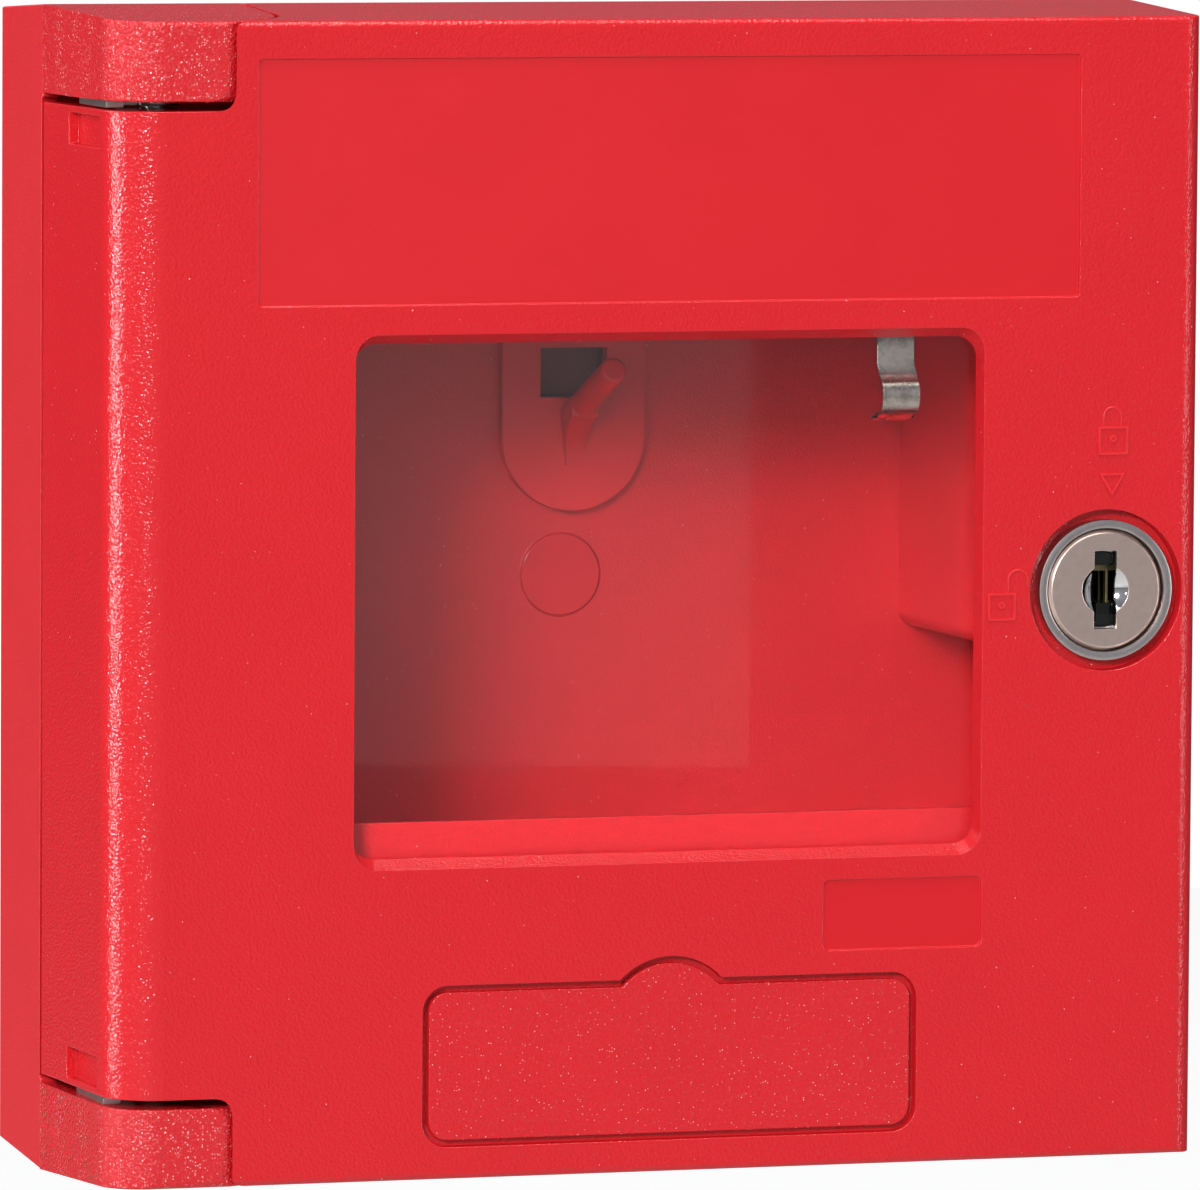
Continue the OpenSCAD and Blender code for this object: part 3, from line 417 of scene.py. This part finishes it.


# The key hook, moulded on its own plate and screwed to the floor of the base.
# The lock keeper is an open red housing with a ledge that the lock's cam turns behind.
# This is the plastic's own red painted a little lighter: painted light on the hook and keeper in the
# box's shade, and a painted highlight that lets the raised signs show as light lines.
painted_light_red = red_plastic("painted_light_red", (0.74, 0.017, 0.023, 1), 4600, 0.02 * mm, 0.36)
hook = moulded_copy("key_hook", 0.35 * mm, "base", clamped=True)
hook.data.materials.append(painted_light_red)
keeper = moulded_copy("lock_keeper", 0.25 * mm, "base", clamped=True)
keeper.data.materials.append(painted_light_red)


# The door: one red moulding with a fine grain. Its label and name plate recesses are
# smooth and bare. Lines of its edges sparkle, because the grain runs round them.
# A few pale specks are painted on its grain as glints.
door_red = red_plastic("door_red", red, 2700, 0.05 * mm, 0.15, 0.005)
nodes, links = door_red.node_tree.nodes, door_red.node_tree.links
texture = nodes["grain"]
label = in_box(door_red, (0.7, -52.5, 50.65), (52.2, 0.3, 14.8))
plate = in_box(door_red, (30.7, -52.5, -39.3), (10.2, 0.3, 4.3))
links.new(number(nodes, links, "SUBTRACT", 1.0, number(nodes, links, "MAXIMUM", label, plate)),
          texture.inputs["Grained"])
door = moulded_copy("door_shell", 0.16 * mm, "door")
door.data.materials.append(door_red)


# The raised signs beside the lock, moulded into the door: a closed padlock and an arrow
# down to the lock above it, and an open padlock on its left. Each is a thin low line.
sign_front = -53.2 * mm
sign_line = 0.3 * mm


def choose_faces(piece, fits):
    """Select only the faces that fit, and leave the piece in edit mode."""
    bpy.ops.object.mode_set(mode="EDIT")
    bpy.ops.mesh.select_mode(type="FACE")
    bpy.ops.mesh.select_all(action="DESELECT")
    bpy.ops.object.mode_set(mode="OBJECT")
    for face in piece.data.polygons:
        face.select = fits(face)
    bpy.ops.object.mode_set(mode="EDIT")


def faces_front(face):
    return face.normal.y < -0.9


def sign_outline(name, x, z, corners, across, height, turned=0.0):
    """A raised outline with this many corners round a middle in millimetres."""
    bpy.ops.object.select_all(action="DESELECT")
    bpy.ops.mesh.primitive_cylinder_add(
        vertices=corners, radius=0.5, depth=0.4 * mm, location=(x * mm, sign_front + 0.2 * mm, z * mm),
        rotation=(math.pi / 2, math.radians(turned), 0))
    sign = bpy.context.object
    sign.name = name
    bpy.ops.object.transform_apply(location=True, rotation=True, scale=True)
    # Bring the outline to its real width and height.
    xs = [corner.co.x for corner in sign.data.vertices]
    zs = [corner.co.z for corner in sign.data.vertices]
    bpy.ops.object.mode_set(mode="EDIT")
    bpy.ops.mesh.select_all(action="SELECT")
    bpy.ops.transform.resize(
        value=(across * mm / (max(xs) - min(xs)), 1, height * mm / (max(zs) - min(zs))),
        center_override=(x * mm, sign_front, z * mm))
    choose_faces(sign, faces_front)
    bpy.ops.mesh.inset(thickness=sign_line, depth=0)
    bpy.ops.mesh.extrude_region_move(TRANSFORM_OT_translate={"value": (0, 0.35 * mm, 0)})
    bpy.ops.object.mode_set(mode="OBJECT")
    return sign


def sign_shackle(name, x, z, across, leg_left, leg_right):
    """A raised half ring with two legs: x and z are the middle of the round, in millimetres."""
    bpy.ops.object.select_all(action="DESELECT")
    bpy.ops.mesh.primitive_torus_add(
        major_segments=24, minor_segments=8, major_radius=across / 2 * mm, minor_radius=0.5 * sign_line,
        location=(x * mm, -53 * mm, z * mm), rotation=(math.pi / 2, 0, 0))
    sign = bpy.context.object
    sign.name = name
    bpy.ops.object.transform_apply(location=True, rotation=True, scale=True)
    bpy.ops.object.mode_set(mode="EDIT")
    bpy.ops.mesh.select_all(action="SELECT")
    bpy.ops.mesh.bisect(plane_co=(x * mm, 0, z * mm), plane_no=(0, 0, 1), clear_inner=True, use_fill=True)
    for side, leg in ((-1, leg_left), (1, leg_right)):
        choose_faces(sign, lambda face: face.normal.z < -0.9 and (face.center.x - x * mm) * side > 0
                     and abs(face.center.z - z * mm) < 0.01 * mm)
        bpy.ops.mesh.extrude_region_move(TRANSFORM_OT_translate={"value": (0, 0, -leg * mm)})
    bpy.ops.object.mode_set(mode="OBJECT")
    return sign


signs = [sign_outline("closed_padlock_body", 57.5, 18.15, 4, 3.9, 3.5, 45),
         sign_shackle("closed_padlock_shackle", 57.4, 21.1, 2.3, 1.35, 1.35),
         sign_outline("closed_padlock_keyhole", 57.5, 18.4, 12, 0.9, 0.9),
         sign_outline("down_arrow", 57.4, 13.2, 3, 3.4, 2.9, 180),
         sign_outline("open_padlock_body", 43.2, -2.0, 4, 3.6, 3.4, 45),
         sign_outline("open_padlock_keyhole", 43.2, -1.8, 12, 0.9, 0.9),
         sign_shackle("open_padlock_shackle", 45.3, 1.25, 2.5, 1.7, 0.9)]
for sign in signs:
    bpy.ops.object.select_all(action="DESELECT")
    sign.select_set(True)
    bpy.context.view_layer.objects.active = sign
    rounding = sign.modifiers.new("soft_line", "BEVEL")
    rounding.width = 0.05 * mm
    rounding.segments = 2
    bpy.ops.object.modifier_apply(modifier=rounding.name)
    bpy.ops.object.shade_smooth_by_angle(angle=math.radians(40))
    # The signs take the lighter red as a painted highlight.
    sign.data.materials.append(painted_light_red)
    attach(sign, "door")


# The lower cover: a loose plate moulded with a coarse grain like the caps' and a finger
# tab on its top edge, pressed into the door's lower pocket.
# Its grain has pale specks painted on as glints, like the caps'.
cover_red = red_plastic("cover_red", red, 2600, 0.08 * mm, 0.16, 0.1)
cover = moulded_copy("lower_cover", 0.2 * mm, "door")
cover.data.materials.append(cover_red)


# The hinge: two steel pins pressed into the caps, each with a stamped bearing plate
# whose tab shows in the gap at the side. The zinc on them is slightly blotched.
def worked_metal():
    """Worn metal: blotches of a second colour, uneven gloss and fine marks along one direction."""
    group, nodes, links, given, result = new_group(
        "worked_metal",
        (("Colour", (0.6, 0.6, 0.6, 1)), ("Stain", (0.4, 0.4, 0.4, 1)), ("Roughness", 0.3),
         ("Stains per metre", 250.0), ("Mark depth", 0.00001), ("Stretch", Vector((1, 1, 1)))),
        (("Colour", "Color"), ("Roughness", "Float"), ("Normal", "Vector")))
    place = nodes.new("ShaderNodeTexCoord")
    stain = nodes.new("ShaderNodeTexNoise")
    stain.inputs["Detail"].default_value = 6
    stain.inputs["Roughness"].default_value = 0.65
    links.new(place.outputs["Object"], stain.inputs["Vector"])
    links.new(given["Stains per metre"], stain.inputs["Scale"])
    depth = nodes.new("ShaderNodeMapRange")
    depth.inputs["From Min"].default_value = 0.42
    depth.inputs["From Max"].default_value = 0.68
    links.new(stain.outputs["Fac"], depth.inputs["Value"])
    links.new(blended(nodes, links, depth.outputs["Result"], given["Colour"], given["Stain"]),
              result["Colour"])
    stretched = nodes.new("ShaderNodeVectorMath")
    stretched.operation = "MULTIPLY"
    links.new(place.outputs["Object"], stretched.inputs[0])
    links.new(given["Stretch"], stretched.inputs[1])
    marks = nodes.new("ShaderNodeTexNoise")
    marks.inputs["Scale"].default_value = 3000
    marks.inputs["Detail"].default_value = 3
    links.new(stretched.outputs[0], marks.inputs["Vector"])
    bump = nodes.new("ShaderNodeBump")
    links.new(marks.outputs["Fac"], bump.inputs["Height"])
    links.new(given["Mark depth"], bump.inputs["Distance"])
    links.new(bump.outputs["Normal"], result["Normal"])
    uneven = nodes.new("ShaderNodeMapRange")
    uneven.inputs["To Min"].default_value = 0.8
    uneven.inputs["To Max"].default_value = 1.25
    links.new(stain.outputs["Fac"], uneven.inputs["Value"])
    links.new(number(nodes, links, "MULTIPLY", given["Roughness"], uneven.outputs["Result"]),
              result["Roughness"])
    return group


wear = worked_metal()


def metal(name, colour, stain, roughness, stretch=(1, 1, 1), depth=0.01, stains=250):
    """Worked metal in these two colours; the marks' depth is in millimetres."""
    material = bpy.data.materials.new(name)
    material.use_nodes = True
    nodes, links = material.node_tree.nodes, material.node_tree.links
    surface = nodes["Principled BSDF"]
    surface.inputs["Metallic"].default_value = 1
    texture = nodes.new("ShaderNodeGroup")
    texture.name = "wear"
    texture.node_tree = wear
    texture.inputs["Colour"].default_value = colour
    texture.inputs["Stain"].default_value = stain
    texture.inputs["Roughness"].default_value = roughness
    texture.inputs["Stains per metre"].default_value = stains
    texture.inputs["Mark depth"].default_value = depth * mm
    texture.inputs["Stretch"].default_value = stretch
    for socket, target in (("Colour", "Base Color"), ("Roughness", "Roughness"), ("Normal", "Normal")):
        links.new(texture.outputs[socket], surface.inputs[target])
    return material


zinc = metal("zinc_steel", (0.66, 0.64, 0.6, 1), (0.5, 0.47, 0.43, 1), 0.32)
for end in ("top", "bottom"):
    plate = moulded_copy("hinge_washer_" + end, 0.1 * mm, "base", steps=2)
    plate.data.materials.append(zinc)
    pin = moulded_copy("hinge_pin_" + end, 0.3 * mm, "base", steps=2)
    pin.data.materials.append(zinc)


# Small pan head screws with a cross recess hold the caps, the hook and the keeper from
# the wall side, the clip on its post and the cam on the plug. Their shanks cut a thread.
head_t, shank_r, thread_pitch, thread_root = 1.6 * mm, 1.25 * mm, 0.8 * mm, 0.8
blade_size = (0.55 * mm, 1.8 * mm, 2.6 * mm)


def pan_screws(node, body, head_r=2.6 * mm):
    """One screw at the low end of the node's box, with a copy at its high end if it has two."""
    low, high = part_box(node)
    first = Vector((low.x + head_r, high.y, low.z + head_r))
    last = Vector((high.x - head_r, high.y, high.z - head_r))
    length = high.y - low.y - head_t
    bpy.ops.object.select_all(action="DESELECT")
    bpy.ops.mesh.primitive_cylinder_add(
        vertices=32, radius=head_r, depth=head_t,
        location=(first.x, first.y - head_t / 2, first.z), rotation=(math.pi / 2, 0, 0))
    screw = bpy.context.object
    screw.name = node + "_finished"
    bpy.ops.object.transform_apply(location=True, rotation=True, scale=True)
    choose_faces(screw, faces_front)
    bpy.ops.mesh.inset(thickness=head_r - shank_r, depth=0)
    turns = max(2, round(length / thread_pitch))
    for turn in range(turns):
        for size in (thread_root, 1 / thread_root):
            bpy.ops.mesh.extrude_region_move(
                TRANSFORM_OT_translate={"value": (0, -length / turns / 2, 0)})
            bpy.ops.transform.resize(value=(size, 1, size), center_override=(first.x, first.y, first.z))
    bpy.ops.object.mode_set(mode="OBJECT")
    crown = screw.modifiers.new("crown", "BEVEL")
    crown.limit_method = "ANGLE"
    crown.angle_limit = math.radians(80)
    crown.width = 0.55 * mm
    crown.segments = 4
    bpy.ops.object.modifier_apply(modifier=crown.name)
    for turned in (0, 90):
        bpy.ops.mesh.primitive_cube_add(size=1, location=(first.x, first.y, first.z),
                                        rotation=(0, math.radians(turned), 0), scale=blade_size)
        blade = bpy.context.object
        bpy.ops.object.transform_apply(location=True, rotation=True, scale=True)
        bpy.ops.object.select_all(action="DESELECT")
        screw.select_set(True)
        bpy.context.view_layer.objects.active = screw
        recess = screw.modifiers.new("recess", "BOOLEAN")
        recess.operation = "DIFFERENCE"
        recess.solver = "EXACT"
        recess.object = blade
        bpy.ops.object.modifier_apply(modifier=recess.name)
        bpy.data.objects.remove(blade, do_unlink=True)
    if (last - first).length > 1 * mm:
        other = bpy.data.objects.new("other_screw", screw.data.copy())
        bpy.context.scene.collection.objects.link(other)
        other.data.transform(Matrix.Translation(last - first))
        bpy.ops.object.select_all(action="DESELECT")
        other.select_set(True)
        screw.select_set(True)
        bpy.context.view_layer.objects.active = screw
        bpy.ops.object.join()
    bpy.ops.object.shade_smooth_by_angle(angle=math.radians(35))
    screw.data.materials.append(zinc)
    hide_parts(node)
    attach(screw, body)


for node in ("hinge_cap_screws", "key_hook_screws", "lock_keeper_screws"):
    pan_screws(node, "base")
pan_screws("pane_clip_screw", "door")
pan_screws("lock_cam_screw", "lock", head_r=3 * mm)


# The pane's clip: a folded leaf of bare spring steel, smudged grey and brown.
spring_steel = metal("spring_steel", (0.72, 0.64, 0.56, 1), (0.34, 0.28, 0.24, 1), 0.26,
                     stretch=(1, 1, 0.12), depth=0.01, stains=420)
clip = moulded_copy("pane_clip", 0.08 * mm, "door", steps=2, sharp=50)
clip.data.materials.append(spring_steel)


# The pane: plain float glass, which slides down in the door's guides. Only its gloss is
# uneven, from dust and finger marks.
glass = bpy.data.materials.new("clear_glass")
glass.use_nodes = True
nodes, links = glass.node_tree.nodes, glass.node_tree.links
surface = nodes["Principled BSDF"]
surface.inputs["IOR"].default_value = 1.42
surface.inputs["Transmission Weight"].default_value = 1
place = nodes.new("ShaderNodeTexCoord")
dust = nodes.new("ShaderNodeTexNoise")
dust.inputs["Scale"].default_value = 45
dust.inputs["Detail"].default_value = 5
links.new(place.outputs["Object"], dust.inputs["Vector"])
haze = nodes.new("ShaderNodeMapRange")
haze.inputs["From Min"].default_value = 0.4
haze.inputs["From Max"].default_value = 0.75
haze.inputs["To Min"].default_value = 0.0
haze.inputs["To Max"].default_value = 0.03
links.new(dust.outputs["Fac"], haze.inputs["Value"])
links.new(haze.outputs["Result"], surface.inputs["Roughness"])
links.new(blended(nodes, links, dust.outputs["Fac"], (0.97, 0.98, 0.975, 1), (0.94, 0.96, 0.955, 1)),
          surface.inputs["Base Color"])
clear = nodes.new("ShaderNodeBsdfTransparent")
clear.inputs["Color"].default_value = (0.76, 0.78, 0.77, 1)
path = nodes.new("ShaderNodeLightPath")
choice = nodes.new("ShaderNodeMixShader")
links.new(path.outputs["Is Shadow Ray"], choice.inputs["Fac"])
links.new(surface.outputs[0], choice.inputs[1])
links.new(clear.outputs[0], choice.inputs[2])
links.new(choice.outputs[0], nodes["Material Output"].inputs["Surface"])
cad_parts["glass_pane"].data.materials.clear()
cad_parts["glass_pane"].data.materials.append(glass)


# The lock's body: a turned and nickel plated barrel whose flange sits in the door's round
# recess. Behind the door a washer and a chamfered nut of zinc plated steel clamp it.
lock_x, lock_z = 56.8, -0.2


def turned_lines():
    """The faint rings that a lathe leaves round the lock's axis, as a height."""
    group, nodes, links, given, result = new_group(
        "turned_lines", (("Lines per metre", 9000.0),), (("Height", "Float"),))
    place = nodes.new("ShaderNodeTexCoord")
    centred = nodes.new("ShaderNodeVectorMath")
    centred.operation = "SUBTRACT"
    links.new(place.outputs["Object"], centred.inputs[0])
    centred.inputs[1].default_value = (lock_x * mm, 0, lock_z * mm)
    flat = nodes.new("ShaderNodeVectorMath")
    flat.operation = "MULTIPLY"
    links.new(centred.outputs[0], flat.inputs[0])
    flat.inputs[1].default_value = (1, 0, 1)
    radius = nodes.new("ShaderNodeVectorMath")
    radius.operation = "LENGTH"
    links.new(flat.outputs[0], radius.inputs[0])
    rings = nodes.new("ShaderNodeTexNoise")
    rings.noise_dimensions = "1D"
    rings.inputs["Detail"].default_value = 2
    rings.inputs["Scale"].default_value = 1
    links.new(number(nodes, links, "MULTIPLY", radius.outputs["Value"], given["Lines per metre"]),
              rings.inputs["W"])
    links.new(rings.outputs["Fac"], result["Height"])
    return group


lathe = turned_lines()


def turned_metal(name, colour, stain, roughness, depth):
    """Plated metal with the lathe's rings under its plating."""
    material = metal(name, colour, stain, roughness, stains=500)
    nodes, links = material.node_tree.nodes, material.node_tree.links
    rings = nodes.new("ShaderNodeGroup")
    rings.node_tree = lathe
    rings.inputs["Lines per metre"].default_value = 6000
    bump = nodes.new("ShaderNodeBump")
    bump.inputs["Distance"].default_value = depth * mm
    links.new(rings.outputs["Height"], bump.inputs["Height"])
    links.new(nodes["wear"].outputs["Normal"], bump.inputs["Normal"])
    links.new(bump.outputs["Normal"], nodes["Principled BSDF"].inputs["Normal"])
    return material


flange_nickel = turned_metal("flange_nickel", (0.6, 0.55, 0.53, 1), (0.5, 0.44, 0.43, 1), 0.28, 0.012)
flange_front, flange_back, barrel_back = -52.9 * mm, -51 * mm, -33.4 * mm
flange_r, disc_room_r, bore_r, barrel_r = 8.65 * mm, 7.6 * mm, 4.65 * mm, 6.4 * mm
disc_room_back = -51.2 * mm
bpy.ops.object.select_all(action="DESELECT")
bpy.ops.mesh.primitive_cylinder_add(
    vertices=96, radius=flange_r, depth=flange_back - flange_front,
    location=(lock_x * mm, (flange_front + flange_back) / 2, lock_z * mm), rotation=(math.pi / 2, 0, 0))
body = bpy.context.object
body.name = "lock_body_finished"
bpy.ops.object.transform_apply(location=True, rotation=True, scale=True)
choose_faces(body, faces_front)
bpy.ops.mesh.inset(thickness=flange_r - disc_room_r, depth=0)
bpy.ops.mesh.extrude_region_move(TRANSFORM_OT_translate={"value": (0, disc_room_back - flange_front, 0)})
bpy.ops.mesh.inset(thickness=disc_room_r - bore_r, depth=0)
bpy.ops.mesh.extrude_region_move(TRANSFORM_OT_translate={"value": (0, barrel_back - disc_room_back, 0)})
bpy.ops.mesh.delete(type="ONLY_FACE")
choose_faces(body, lambda face: face.normal.y > 0.9)
bpy.ops.mesh.inset(thickness=flange_r - barrel_r, depth=0)
barrel_turns, barrel_root = 20, 0.965
for turn in range(barrel_turns):
    for size in (barrel_root, 1 / barrel_root):
        bpy.ops.mesh.extrude_region_move(
            TRANSFORM_OT_translate={"value": (0, (barrel_back - flange_back) / barrel_turns / 2, 0)})
        bpy.ops.transform.resize(value=(size, 1, size), center_override=(lock_x * mm, 0, lock_z * mm))
bpy.ops.mesh.inset(thickness=barrel_r - bore_r, depth=0)
bpy.ops.mesh.delete(type="ONLY_FACE")
bpy.ops.mesh.select_all(action="SELECT")
bpy.ops.mesh.remove_doubles(threshold=0.01 * mm)
bpy.ops.object.mode_set(mode="OBJECT")
rounding = body.modifiers.new("turned_edges", "BEVEL")
rounding.limit_method = "ANGLE"
rounding.angle_limit = math.radians(60)
rounding.width = 0.14 * mm
rounding.segments = 2
bpy.ops.object.modifier_apply(modifier=rounding.name)
bpy.ops.object.shade_smooth_by_angle(angle=math.radians(30))
body.data.materials.append(flange_nickel)
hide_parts("lock_body")
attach(body, "door")
for node, edge in (("lock_washer", 0.1 * mm), ("lock_nut", 0.25 * mm)):
    clamp = moulded_copy(node, edge, "door", steps=2)
    clamp.data.materials.append(zinc)


# The plug: its front disc is satin nickel with a slight brown cast and a polished dish
# round the keyway. The plug, its square tail and the cam are nickel plated.
plug_nickel = turned_metal("plug_nickel", (0.8, 0.62, 0.54, 1), (0.68, 0.53, 0.46, 1), 0.33, 0.01)
nodes, links = plug_nickel.node_tree.nodes, plug_nickel.node_tree.links
surface, texture = nodes["Principled BSDF"], nodes["wear"]
texture.inputs["Mark depth"].default_value = 0.003 * mm
dish = in_box(plug_nickel, (lock_x, -50.0, lock_z), (3.1, 2.71, 3.1))
# Painted shade: the keyway slot is painted near black for the shade inside it.
keyway_shade_mask = in_box(plug_nickel, (lock_x, -42.0, lock_z), (1.6, 10.3, 4.9))
dish_nickel, keyway_shade = (0.8, 0.79, 0.78, 1), (0.045, 0.05, 0.045, 1)
polished = blended(nodes, links, dish, texture.outputs["Colour"], dish_nickel)
links.new(blended(nodes, links, keyway_shade_mask, polished, keyway_shade), surface.inputs["Base Color"])
links.new(number(nodes, links, "SUBTRACT", texture.outputs["Roughness"],
                 number(nodes, links, "MULTIPLY", dish, 0.24)), surface.inputs["Roughness"])
# The dish's polish has taken off the lathe's rings.
for node in list(nodes):
    if node.bl_idname == "ShaderNodeBump":
        links.new(number(nodes, links, "SUBTRACT", 1.0, dish), node.inputs["Strength"])
plug = moulded_copy("lock_plug", 0.08 * mm, "lock", steps=2)
plug.data.materials.append(plug_nickel)
cam = moulded_copy("lock_cam", 0.15 * mm, "lock", steps=2, clamped=True)
cam.data.materials.append(zinc)


# The wafers that a key lifts: thin plates stamped from brass strip, dulled by oil and
# dust, in slots across the plug.
wafer_brass = metal("wafer_brass", (0.4, 0.33, 0.17, 1), (0.14, 0.12, 0.07, 1), 0.45)
wafers = moulded_copy("lock_wafers", 0.06 * mm, "lock", steps=2)
wafers.data.materials.append(wafer_brass)
